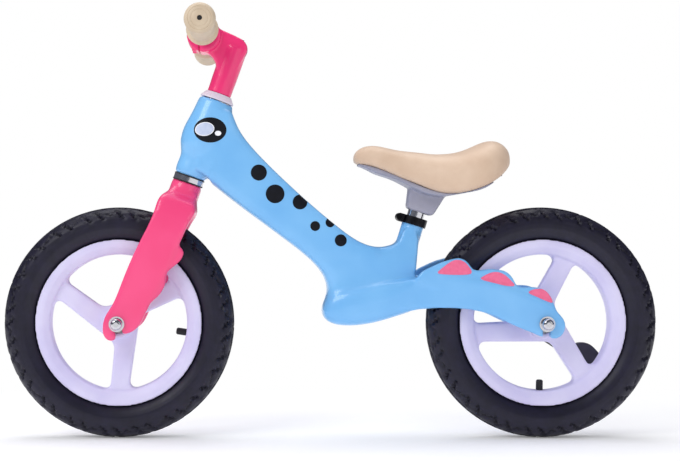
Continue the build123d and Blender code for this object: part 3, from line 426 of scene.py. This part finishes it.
# ------------------------------------------------------------------ settings
class BikeColours(bpy.types.PropertyGroup):
    """The sprayed and moulded colours, each as a darker and a lighter tone in sRGB hex."""
    frame_dark: bpy.props.StringProperty(name="Frame, darker", description="Blue enamel", default="74BBF6")
    frame_light: bpy.props.StringProperty(name="Frame, lighter", description="Blue enamel", default="7FC3FA")
    fork_dark: bpy.props.StringProperty(name="Fork, darker", description="Pink enamel", default="FB4482")
    fork_light: bpy.props.StringProperty(name="Fork, lighter", description="Pink enamel", default="FF4D8A")
    stem_dark: bpy.props.StringProperty(name="Stem, darker", description="Rose enamel", default="F32674")
    stem_light: bpy.props.StringProperty(name="Stem, lighter", description="Rose enamel", default="FA2D7B")
    wheel_dark: bpy.props.StringProperty(name="Wheels, darker", description="Nylon", default="D6D0F4")
    wheel_light: bpy.props.StringProperty(name="Wheels, lighter", description="Nylon", default="E0DBFA")
    grip_dark: bpy.props.StringProperty(name="Grips, darker", description="Cream rubber", default="CDB99F")
    grip_light: bpy.props.StringProperty(name="Grips, lighter", description="Cream rubber", default="D8C5AC")
    saddle_dark: bpy.props.StringProperty(name="Saddle, darker", description="Tan", default="D6B9A0")
    saddle_light: bpy.props.StringProperty(name="Saddle, lighter", description="Tan", default="DFC4AC")
    sticker_dark: bpy.props.StringProperty(name="Stickers, darker", description="Pink", default="F26D94")
    sticker_light: bpy.props.StringProperty(name="Stickers, lighter", description="Pink", default="F8779E")


class BikeSizes(bpy.types.PropertyGroup):
    """Sizes of the details that are added to the frame's parts."""
    tread_pitches: bpy.props.IntProperty(name="Tread pitches", description="Lugs round a tyre", default=40,
                                         min=12)
    groove_depth: bpy.props.FloatProperty(name="Groove depth", description="Depth of the tread's grooves",
                                          default=0.0034, unit="LENGTH")
    groove_width: bpy.props.FloatProperty(name="Groove width", description="Width of a shoulder groove",
                                          default=0.0034, unit="LENGTH")
    casting_voxel: bpy.props.FloatProperty(name="Casting voxel", description="Mesh size of the castings, mm",
                                           default=2.0)
    grip_rib: bpy.props.FloatProperty(name="Grip rib", description="Height of the grips' ribs",
                                      default=0.0007, unit="LENGTH")
    film: bpy.props.FloatProperty(name="Film thickness", description="Thickness of a sticker",
                                  default=0.00022, unit="LENGTH")


# ------------------------------------------------------------------ operators
class BIKE_OT_materials(bpy.types.Operator):
    """Makes every material and gives it to the CAD nodes that stay as they are"""
    bl_idname = "bike.materials"
    bl_label = "Materials"

    kept = {
        "chrome": ("headset_lower_cup", "headset_upper_cup", "seat_post", "front_axle_nuts",
                   "rear_axle_nuts"),
        "white": ("headset_cover",),
        "black_coat": ("handlebar", "stand_leg", "stand_bracket"),
        "anodised": ("seat_clamp",),
        "stem": ("stem_cap_bolts",),
        "oxide": ("seat_clamp_bolt", "seat_clamp_nut", "stand_bracket_bolts",
                  "stand_pivot_bolt"),
        # The valves, inner tubes and stem plug are black rubber; the lower bearing and crown race are made
        # black as painted shade in the gap below the lower headset cup.
        "black_rubber": ("front_valve", "rear_valve", "front_inner_tube", "rear_inner_tube",
                         "stem_plug", "headset_lower_bearing", "headset_crown_race"),
    }

    def execute(self, context):
        make_materials(context.scene.bike_colours)
        placed = {node: finish for finish, nodes in self.kept.items() for node in nodes}
        for name, node in frame["nodes"].items():
            finish = MATERIALS[placed.get(name, "steel")]
            node.data.materials.clear()
            node.data.materials.append(finish)
            activate(node)
            bpy.ops.object.shade_smooth_by_angle(angle=radians(35))
        deselect_all()
        return {"FINISHED"}


class BIKE_OT_frame_casting(bpy.types.Operator):
    """The one-piece frame with its rounded beam, cheeks, toe and finned stays"""
    bl_idname = "bike.frame_casting"
    bl_label = "Frame casting"

    def execute(self, context):
        piece = merged_copy("frame", "frame_casting")
        soften_casting(piece, context.scene.bike_sizes.casting_voxel,
                       [(frame_roundness, 80, 2.4), (toe_roundness, 40, 0.6), (all_over(0.5), 2, 0)])
        finish_piece(piece, "frame")
        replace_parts(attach(piece, "frame"), "frame")
        return {"FINISHED"}


class BIKE_OT_fork_casting(bpy.types.Operator):
    """The fork with its crown, flat blades and fins"""
    bl_idname = "bike.fork_casting"
    bl_label = "Fork casting"

    def execute(self, context):
        piece = merged_copy("fork", "fork_casting")

        def roundness(places):
            return away_from_fits(places, FRONT_HUB, 0.008, STEER_FOOT, STEER_AXIS, -0.5, -0.009)

        def crown(places):
            """One over the crown, none in the steerer's bore or down the blades."""
            along, away = axis_places(places, STEER_FOOT, STEER_AXIS)
            return ramp(along, -0.07, -0.05) * ramp(-along, 0.0088, 0.016) * np.where(away < 0.0155, 0, 1)

        soften_casting(piece, context.scene.bike_sizes.casting_voxel,
                       [(roundness, 7, 0.3), (crown, 20, 0.6)])
        finish_piece(piece, "fork")
        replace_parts(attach(piece, "fork"), "fork")
        return {"FINISHED"}


class BIKE_OT_stem_casting(bpy.types.Operator):
    """The stem with its swept head, and the cap that clamps the bar"""
    bl_idname = "bike.stem_casting"
    bl_label = "Stem and cap"

    def execute(self, context):
        bore = (BAR_CENTER, Vector((0, 1, 0)))
        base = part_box("headset_cover")[1]
        level = (base - STEER_FOOT).dot(STEER_AXIS)

        def roundness(places):
            away = axis_places(places, *bore)[1]
            up = axis_places(places, STEER_FOOT, STEER_AXIS)[0]
            return np.where(away < 0.0125, 0.0, ramp(up, level - 0.004, level + 0.01))

        for node, name, iterations in (("stem", "stem_casting", 26), ("stem_cap", "stem_cap_casting", 4)):
            piece = merged_copy(node, name)
            soften_casting(piece, 1.1, [(roundness, iterations, 0.5 if node == "stem" else 0.1)])
            finish_piece(piece, "stem")
            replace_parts(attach(piece, "stem"), node)
        return {"FINISHED"}


class BIKE_OT_wheels(bpy.types.Operator):
    """The moulded three-spoke wheels with softened spokes and rims"""
    bl_idname = "bike.wheels"
    bl_label = "Moulded wheels"

    def execute(self, context):
        for end, hub in (("front", FRONT_HUB), ("rear", REAR_HUB)):
            piece = merged_copy(end + "_rim", end + "_moulded_wheel")

            def roundness(places):
                away = np.hypot(places[:, 0] - hub.x, places[:, 2] - hub.z)
                return np.where(away < 0.0145, 0.0, 1.0)

            soften_casting(piece, 1.6, [(roundness, 8, 0.25)])
            finish_piece(piece, "wheel")
            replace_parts(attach(piece, end + "_wheel"), end + "_rim")
        return {"FINISHED"}


class BIKE_OT_tyres(bpy.types.Operator):
    """Tyres with slanted shoulder grooves, sipes and a ribbed sidewall"""
    bl_idname = "bike.tyres"
    bl_label = "Tyres"

    steps_per_pitch = 22
    section_steps = 72
    groove_wall = 0.0008        # how wide a groove's sloping wall is
    shoulder_slant = 0.0003     # shift along the tyre, m for each degree round the section
    sipe_slant = 0.0004
    pitch_swing = 0.11          # every other pitch is longer, by this share

    def groove(self, offset, width, depth):
        """Depth of a groove whose middle is at an offset, with sloping walls."""
        return depth * np.clip((width / 2 + self.groove_wall / 2 - np.abs(offset)) / self.groove_wall, 0, 1)

    def execute(self, context):
        sizes = context.scene.bike_sizes
        for end, hub in (("front", FRONT_HUB), ("rear", REAR_HUB)):
            low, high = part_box(end + "_tyre")
            section = (high.y - low.y) / 2
            outside = (high.z - low.z) / 2
            middle = outside - section
            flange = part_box(end + "_rim")[1].z - hub.z
            deselect_all()
            bpy.ops.mesh.primitive_torus_add(
                major_segments=sizes.tread_pitches * self.steps_per_pitch,
                minor_segments=self.section_steps, major_radius=middle, minor_radius=section,
                location=hub, rotation=(pi / 2, 0, 0))
            piece = bpy.context.object
            piece.name = end + "_treaded_tyre"
            bpy.ops.object.transform_apply(location=True, rotation=True, scale=True)
            places = vertex_places(piece)
            x, y, z = places[:, 0] - hub.x, places[:, 1], places[:, 2] - hub.z
            around = np.arctan2(z, x)
            reach = np.hypot(x, z)
            lean = np.arctan2(y, reach - middle)
            side = np.abs(np.degrees(lean))
            pitch = 2 * pi * outside / sizes.tread_pitches
            turn = around / (2 * pi) * sizes.tread_pitches
            shifted = turn + np.where(lean < 0, 0.5, 0.0)
            shifted = shifted + self.pitch_swing * np.where(shifted % 2 < 1, 1, -1)
            offset = ((shifted % 1) - 0.5) * pitch
            sipe = (((shifted + 0.5) % 1) - 0.5) * pitch
            band = ramp(side, 33, 36) * ramp(-side, -72, -67)
            cut = band * self.groove(offset + (side - 54) * self.shoulder_slant, sizes.groove_width,
                                     sizes.groove_depth)
            inner = ramp(side, 44, 46) * ramp(-side, -58, -55)
            cut = np.maximum(cut, inner * self.groove(sipe - (side - 50) * self.sipe_slant,
                                                      sizes.groove_width * 0.7, sizes.groove_depth * 0.8))
            wave = 4 * np.abs((turn % 1) - 0.5) - 1
            cut = np.maximum(cut, self.groove(section * np.radians(side - 17 - 3.5 * wave),
                                              sizes.groove_width * 0.8, sizes.groove_depth))
            middle_band = ramp(-side, -12, -9)
            cut = np.maximum(cut, middle_band * self.groove(offset - np.degrees(lean) * 0.0001,
                                                            sizes.groove_width * 0.7,
                                                            sizes.groove_depth * 0.7))
            ribs = 0.00045 * np.clip(1 - np.abs(side - 100) / 2.2, 0, 1)
            ribs += 0.0004 * np.clip(1 - np.abs(side - 122) / 2.0, 0, 1)
            size = section - cut - 0.0007 * ramp(side, 71, 73) + ribs
            reach = middle + size * np.cos(lean)
            across = size * np.sin(lean)
            bead = reach < flange + 0.0008
            across = np.where(bead, np.clip(across, -0.0142, 0.0142), across)
            reach = np.maximum(reach, flange - 0.0062)
            places = np.column_stack((hub.x + reach * np.cos(around), across,
                                      hub.z + reach * np.sin(around)))
            move_vertices(piece, places)
            finish_piece(piece, "tyre", 40)
            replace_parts(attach(piece, end + "_wheel"), end + "_tyre")
        return {"FINISHED"}


class BIKE_OT_grips(bpy.types.Operator):
    """Soft grips with a hand stop, shallow ribs and a ringed, domed end"""
    bl_idname = "bike.grips"
    bl_label = "Grips"

    def profile(self, length, rib):
        """Distance from the inner end and radius, along the grip and over its end."""
        points = [(0, 0.0112), (0, 0.0188), (0.0008, 0.0200), (0.0018, 0.0205), (0.0028, 0.0203),
                  (0.0037, 0.0193), (0.0048, 0.0172), (0.0060, 0.0164)]
        ribs, start, stop = 17, 0.010, length - 0.026
        for step in range(ribs * 4 + 1):
            share = step / (ribs * 4)
            wave = rib * (0.5 - 0.5 * cos(2 * pi * share * ribs))
            belly = 0.0007 * sin(pi * share)
            points.append((start + share * (stop - start), 0.0155 + belly + wave))
        points += [(length - 0.022, 0.0160), (length - 0.018, 0.0172), (length - 0.013, 0.0187),
                   (length - 0.009, 0.0193), (length - 0.0055, 0.0189), (length - 0.0030, 0.0176),
                   (length - 0.0016, 0.0158), (length - 0.0011, 0.0150), (length - 0.0016, 0.0143),
                   (length - 0.0010, 0.0136), (length - 0.0005, 0.0110), (length - 0.0010, 0.0102),
                   (length - 0.0005, 0.0094), (length - 0.0001, 0.0060), (length - 0.0004, 0.0034),
                   (length - 0.0012, 0.0030), (length - 0.0036, 0.0029), (length - 0.0038, 0.0)]
        return points

    def execute(self, context):
        for name, side in (("grip_left", -1), ("grip_right", 1)):
            low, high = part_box(name)
            inner = low.y if side > 0 else high.y
            outline = self.profile(high.y - low.y, context.scene.bike_sizes.grip_rib)
            mesh = bpy.data.meshes.new("ribbed_" + name)
            places = [(BAR_CENTER.x, inner + side * along, BAR_CENTER.z + radius)
                      for along, radius in outline]
            mesh.from_pydata(places, [(i, i + 1) for i in range(len(places) - 1)], [])
            piece = new_piece("ribbed_" + name, mesh)
            bpy.ops.object.mode_set(mode="EDIT")
            bpy.ops.mesh.select_all(action="SELECT")
            bpy.ops.mesh.spin(steps=72, angle=2 * pi, center=BAR_CENTER, axis=(0, 1, 0))
            bpy.ops.mesh.select_all(action="SELECT")
            bpy.ops.mesh.remove_doubles(threshold=0.00003)
            bpy.ops.mesh.normals_make_consistent(inside=False)
            bpy.ops.object.mode_set(mode="OBJECT")
            finish_piece(piece, "grip", 50)
            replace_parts(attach(piece, "handlebar"), name)
        return {"FINISHED"}


class BIKE_OT_seals(bpy.types.Operator):
    """Thin black rings as painted shade in the gaps above and below the lower headset cup, and black plugs
    as painted shade in the grips' vent holes
    """
    bl_idname = "bike.seals"
    bl_label = "Gap and vent shade"

    gap_shade_radius = 0.0009
    gap_shade_sunk = 0.0004          # how far a ring of painted gap shade sits inside the cup's edge
    vent_shade_radius = 0.0029
    vent_shade_depth = 0.002
    vent_shade_sunk = 0.0024

    def execute(self, context):
        radius = (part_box("headset_lower_cup")[1].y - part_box("headset_lower_cup")[0].y) / 2
        turn = STEER_AXIS.to_track_quat("Z", "Y").to_euler()
        # Painted shade: thin black rubber rings stand in for the dark gaps above and below the lower headset
        # cup.
        for name, drop in (("lower_gap_shade", 0.0079), ("upper_gap_shade", 0.0002)):
            deselect_all()
            bpy.ops.mesh.primitive_torus_add(major_segments=72, minor_segments=12, rotation=turn,
                                             major_radius=radius - self.gap_shade_sunk,
                                             minor_radius=self.gap_shade_radius,
                                             location=STEER_FOOT - STEER_AXIS * drop)
            ring = bpy.context.object
            ring.name = "headset_" + name
            bpy.ops.object.transform_apply(location=True, rotation=True, scale=True)
            finish_piece(ring, "black_rubber")
            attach(ring, "frame")
        # Painted shade: a black plug sunk in each grip's vent hole stands in for the darkness inside the
        # hole.
        for name, side in (("grip_left", -1), ("grip_right", 1)):
            low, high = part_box(name)
            tip = (low.y if side < 0 else high.y) - side * self.vent_shade_sunk
            deselect_all()
            bpy.ops.mesh.primitive_cylinder_add(vertices=40, radius=self.vent_shade_radius, depth=self.vent_shade_depth,
                                                location=(BAR_CENTER.x, tip, BAR_CENTER.z),
                                                rotation=(pi / 2, 0, 0))
            vent_shade = bpy.context.object
            vent_shade.name = name + "_vent"
            bpy.ops.object.transform_apply(location=True, rotation=True, scale=True)
            finish_piece(vent_shade, "black_rubber", 40)
            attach(vent_shade, "handlebar")
        return {"FINISHED"}


class BIKE_OT_saddle(bpy.types.Operator):
    """The padded saddle over its moulded base"""
    bl_idname = "bike.saddle"
    bl_label = "Saddle"

    tray_voxel = 1.5            # mesh size of the tray, mm
    nose_share = 0.25           # the tray's thickness at the nose, as a share of the part's
    full_before_post = 0.045    # full thickness from this far in front of the post
    column_step = 0.004
    column_reach = 0.006

    def execute(self, context):
        cover = merged_copy("saddle_cover", "padded_saddle")
        apply_modifier(cover, "REMESH", mode="VOXEL", voxel_size=3 * MM, use_smooth_shade=True)
        facing = np.zeros(len(cover.data.vertices) * 3)
        cover.data.vertices.foreach_get("normal", facing)
        upward = weigh(cover, "upward", ramp(facing.reshape(-1, 3)[:, 2], -0.75, 0.0))
        apply_modifier(cover, "SMOOTH", upward, factor=0.6, iterations=16)
        cover.vertex_groups.clear()
        apply_modifier(cover, "DISPLACE", strength=0.8 * MM, mid_level=0.0, direction="NORMAL")
        apply_modifier(cover, "SUBSURF", levels=1, render_levels=1)
        finish_piece(cover, "saddle")
        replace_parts(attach(cover, "seat"), "saddle_cover")

        # The tray thins towards the nose, up against the lower rim of the cover's skirt.
        skin = vertex_places(frame["nodes"]["saddle_cover"])
        columns = np.arange(skin[:, 0].min(), skin[:, 0].max(), self.column_step)
        rims = np.array([skin[np.abs(skin[:, 0] - column) < self.column_reach, 2].min()
                         for column in columns])
        post = (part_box("seat_post")[0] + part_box("seat_post")[1]) / 2
        base = merged_copy("saddle_base", "saddle_tray")
        apply_modifier(base, "REMESH", mode="VOXEL", voxel_size=self.tray_voxel * MM, use_smooth_shade=True)
        places = vertex_places(base)
        rim = np.interp(places[:, 0], columns, rims)
        front = post.x - self.full_before_post
        share = self.nose_share + (1 - self.nose_share) * ramp(places[:, 0], columns[0], front)
        below = places[:, 2] < rim
        places[below, 2] = (rim - (rim - places[:, 2]) * share)[below]
        move_vertices(base, places)

        def roundness(places):
            away = axis_places(places, post, SEAT_AXIS)[1]
            return np.where(away < 0.0125, 0.0, 1.0)

        soften_casting(base, self.tray_voxel, [(roundness, 12, 0.4)])
        finish_piece(base, "grey")
        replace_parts(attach(base, "seat"), "saddle_base")
        return {"FINISHED"}


class BIKE_OT_stand_foot(bpy.types.Operator):
    """The side stand's rounded foot pad"""
    bl_idname = "bike.stand_foot"
    bl_label = "Stand foot"

    def execute(self, context):
        piece = merged_copy("stand_foot", "rounded_stand_foot")
        soften_casting(piece, 1.0, [(all_over(1.0), 10, 0.3)])
        finish_piece(piece, "dark_plastic")
        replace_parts(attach(piece, "stand"), "stand_foot")
        return {"FINISHED"}


def ellipse(x, z, wide, high, tilt=0.0, count=56):
    """An ellipse's outline in the side plane, in metres, from sizes in millimetres."""
    turn = radians(tilt)
    points = []
    for step in range(count):
        angle = 2 * pi * step / count
        a, b = wide * cos(angle), high * sin(angle)
        points.append(((x + a * cos(turn) - b * sin(turn)) * MM, (z + a * sin(turn) + b * cos(turn)) * MM))
    return points


def rounded_outline(points, rounds=3):
    """A given outline with its corners cut smooth a few times."""
    for _ in range(rounds):
        finer = []
        for (ax, az), (bx, bz) in zip(points, points[1:] + points[:1]):
            finer += [(0.75 * ax + 0.25 * bx, 0.75 * az + 0.25 * bz),
                      (0.25 * ax + 0.75 * bx, 0.25 * az + 0.75 * bz)]
        points = finer
    return points


def lay_film(name, outline, side, tree, lift, thickness, material, body, rings=9):
    """A thin film in the shape of an outline, laid on a casting from one side."""
    count = len(outline)
    middle = np.mean(np.array(outline), axis=0)
    places = []
    for ring in range(rings + 1):
        share = ring / rings
        for x, z in (outline if ring else [tuple(middle)]):
            x, z = middle[0] + (x - middle[0]) * share, middle[1] + (z - middle[1]) * share
            hit, normal, _, _ = tree.ray_cast(Vector((x, side * 0.2, z)), Vector((0, -side, 0)), 0.2)
            if hit is None or abs(normal.y) < 0.12:
                hit, normal, _, _ = tree.find_nearest(Vector((x, side * 0.02, z)))
            places.append(hit + normal * lift)
    faces = [(0, 1 + i, 1 + (i + 1) % count) for i in range(count)]
    for ring in range(rings - 1):
        start = 1 + ring * count
        faces += [(start + i, start + count + i, start + count + (i + 1) % count, start + (i + 1) % count)
                  for i in range(count)]
    mesh = bpy.data.meshes.new(name)
    mesh.from_pydata([tuple(p) for p in places], [], faces)
    piece = new_piece(name, mesh)
    bpy.ops.object.mode_set(mode="EDIT")
    bpy.ops.mesh.select_all(action="SELECT")
    bpy.ops.mesh.normals_make_consistent(inside=False)
    bpy.ops.object.mode_set(mode="OBJECT")
    if piece.data.polygons[0].normal.y * side < 0:
        bpy.ops.object.mode_set(mode="EDIT")
        bpy.ops.mesh.flip_normals()
        bpy.ops.object.mode_set(mode="OBJECT")
    apply_modifier(piece, "SOLIDIFY", thickness=thickness, offset=1.0)
    finish_piece(piece, material, 60)
    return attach(piece, body)


class BIKE_OT_stickers(bpy.types.Operator):
    """The eyes, spots and fin stickers, laid on both sides of the frame"""
    bl_idname = "bike.stickers"
    bl_label = "Eyes, spots and stickers"

    # In millimetres from the middle between the wheels and from the ground.
    eye = (
        ("eye_black", (-156, 399.5, 21, 16.3, 0), "film_black", 1),
        ("eye_white_rim", (-163, 400.5, 12.4, 8.9, 8), "film_white", 2),
        ("eye_lilac", (-163, 400.5, 11.2, 7.8, 8), "film_lilac", 3),
        ("eye_glint", (-145.8, 395.2, 4.2, 3.2, 0), "film_white", 2),
    )
    spots = ((-93.2, 344.5, 10.3), (-72.2, 317, 12), (-40, 306.5, 9.5), (-20.5, 275.5, 6.3),
             (-1, 280, 6), (12.5, 257, 7.7))
    fins = (
        ((133, 214.5), (141, 221.5), (150, 228.5), (158, 232.4), (167, 231.6), (174, 226), (181, 214.8),
         (170, 212.8), (150, 213.2)),
        ((188, 207.5), (196, 212.5), (204, 216.2), (213, 217), (222, 213), (229, 206), (236, 198.5),
         (224, 198.4), (206, 203)),
        ((250, 190), (256, 194), (264, 195.4), (272, 194), (279, 187), (284, 176.5), (276, 178.6),
         (262, 185)),
    )

    def execute(self, context):
        film = context.scene.bike_sizes.film
        casting = bpy.data.objects["frame_casting"]
        tree = BVHTree.FromObject(casting, context.evaluated_depsgraph_get())
        for hand, side in (("left", -1), ("right", 1)):
            for name, (x, z, wide, high, tilt), material, layer in self.eye:
                lay_film(name + "_" + hand, ellipse(x, z, wide, high, tilt), side, tree,
                         (layer - 1) * film + 0.0001, film, material, "frame", 12)
            for number, (x, z, radius) in enumerate(self.spots, 1):
                lay_film("spot_" + str(number) + "_" + hand, ellipse(x, z, radius, radius), side, tree,
                         0.0001, film, "film_black", "frame", 8)
            for number, outline in enumerate(self.fins, 1):
                points = rounded_outline([(x * MM, z * MM) for x, z in outline], 3)
                lay_film("fin_sticker_" + str(number) + "_" + hand, points, side, tree, 0.0001,
                         2 * film, "film_pink", "frame", 6)
        return {"FINISHED"}


class BIKE_OT_stage(bpy.types.Operator):
    """A pale floor, soft lights and the camera"""
    bl_idname = "bike.stage"
    bl_label = "Stage"

    def lamp(self, name, place, target, size, power):
        deselect_all()
        bpy.ops.object.light_add(type="AREA", location=place)
        lamp = bpy.context.object
        lamp.name = name
        lamp.data.shape = "RECTANGLE"
        lamp.data.size, lamp.data.size_y = size
        lamp.data.energy = power
        lamp.rotation_euler = (Vector(target) - Vector(place)).to_track_quat("-Z", "Y").to_euler()

    def execute(self, context):
        deselect_all()
        bpy.ops.mesh.primitive_plane_add(size=40, location=(0, 0, 0))
        floor = bpy.context.object
        floor.name = "studio_floor"
        floor.data.materials.append(shading_floor())
        self.lamp("key_softbox", (-1.7, -1.7, 1.9), (0, 0, 0.25), (1.5, 1.1), 26)
        self.lamp("fill_softbox", (1.9, -2.2, 1.0), (0, 0, 0.25), (1.6, 1.4), 5)
        self.lamp("top_softbox", (-0.2, 0.4, 2.2), (0, 0, 0.2), (2.0, 1.4), 21)
        world = bpy.data.worlds.new("studio_sky")
        world.use_nodes = True
        tree = world.node_tree
        tree.nodes.clear()
        white = add_node(tree, "Background", {"Color": (1, 1, 1, 1), "Strength": 1.0})
        soft = add_node(tree, "Background", {"Color": (0.95, 0.96, 1.0, 1), "Strength": 0.56})
        seen = add_node(tree, "LightPath")
        dim = add_node(tree, "Background", {"Color": (0.8, 0.85, 1.0, 1), "Strength": 0.16})
        mirrored = add_node(tree, "MixShader")
        tree.links.new(seen.outputs["Is Glossy Ray"], mirrored.inputs[0])
        tree.links.new(soft.outputs["Background"], mirrored.inputs[1])
        tree.links.new(dim.outputs["Background"], mirrored.inputs[2])
        mixed = add_node(tree, "MixShader")
        tree.links.new(seen.outputs["Is Camera Ray"], mixed.inputs[0])
        tree.links.new(mirrored.outputs["Shader"], mixed.inputs[1])
        tree.links.new(white.outputs["Background"], mixed.inputs[2])
        add_node(tree, "OutputWorld", links={"Surface": mixed.outputs["Shader"]})
        context.scene.world = world
        context.scene.view_settings.view_transform = "Standard"
        bpy.ops.object.camera_add(location=(-0.104, -2.0, 0.268), rotation=(pi / 2, 0, 0))
        camera = bpy.context.object
        camera.name = "side_camera"
        camera.data.sensor_width = 36
        camera.data.lens = 81
        camera.data.shift_x = 0.1317
        camera.data.shift_y = 0.002
        camera.data.clip_end = 60
        context.scene.camera = camera
        return {"FINISHED"}


OPERATORS = (
    BIKE_OT_materials,
    BIKE_OT_frame_casting,
    BIKE_OT_fork_casting,
    BIKE_OT_stem_casting,
    BIKE_OT_wheels,
    BIKE_OT_tyres,
    BIKE_OT_grips,
    BIKE_OT_seals,
    BIKE_OT_saddle,
    BIKE_OT_stand_foot,
    BIKE_OT_stickers,
    BIKE_OT_stage,
)


class BIKE_PT_panel(bpy.types.Panel):
    bl_label = "Balance bike"
    bl_idname = "BIKE_PT_panel"
    bl_space_type = "VIEW_3D"
    bl_region_type = "UI"
    bl_category = "Bike"

    def draw(self, context):
        for group in (context.scene.bike_colours, context.scene.bike_sizes):
            box = self.layout.box()
            for name in group.__annotations__:
                box.prop(group, name)
        for operator in OPERATORS:
            self.layout.operator(operator.bl_idname)


CLASSES = (BikeColours, BikeSizes) + OPERATORS + (BIKE_PT_panel,)


def register():
    for made in CLASSES:
        bpy.utils.register_class(made)
    bpy.types.Scene.bike_colours = bpy.props.PointerProperty(type=BikeColours)
    bpy.types.Scene.bike_sizes = bpy.props.PointerProperty(type=BikeSizes)


def unregister():
    del bpy.types.Scene.bike_sizes
    del bpy.types.Scene.bike_colours
    for made in reversed(CLASSES):
        bpy.utils.unregister_class(made)


def main():
    register()
    for operator in OPERATORS:
        group, name = operator.bl_idname.split(".")
        getattr(getattr(bpy.ops, group), name)()


if __name__ == "__main__":
    main()
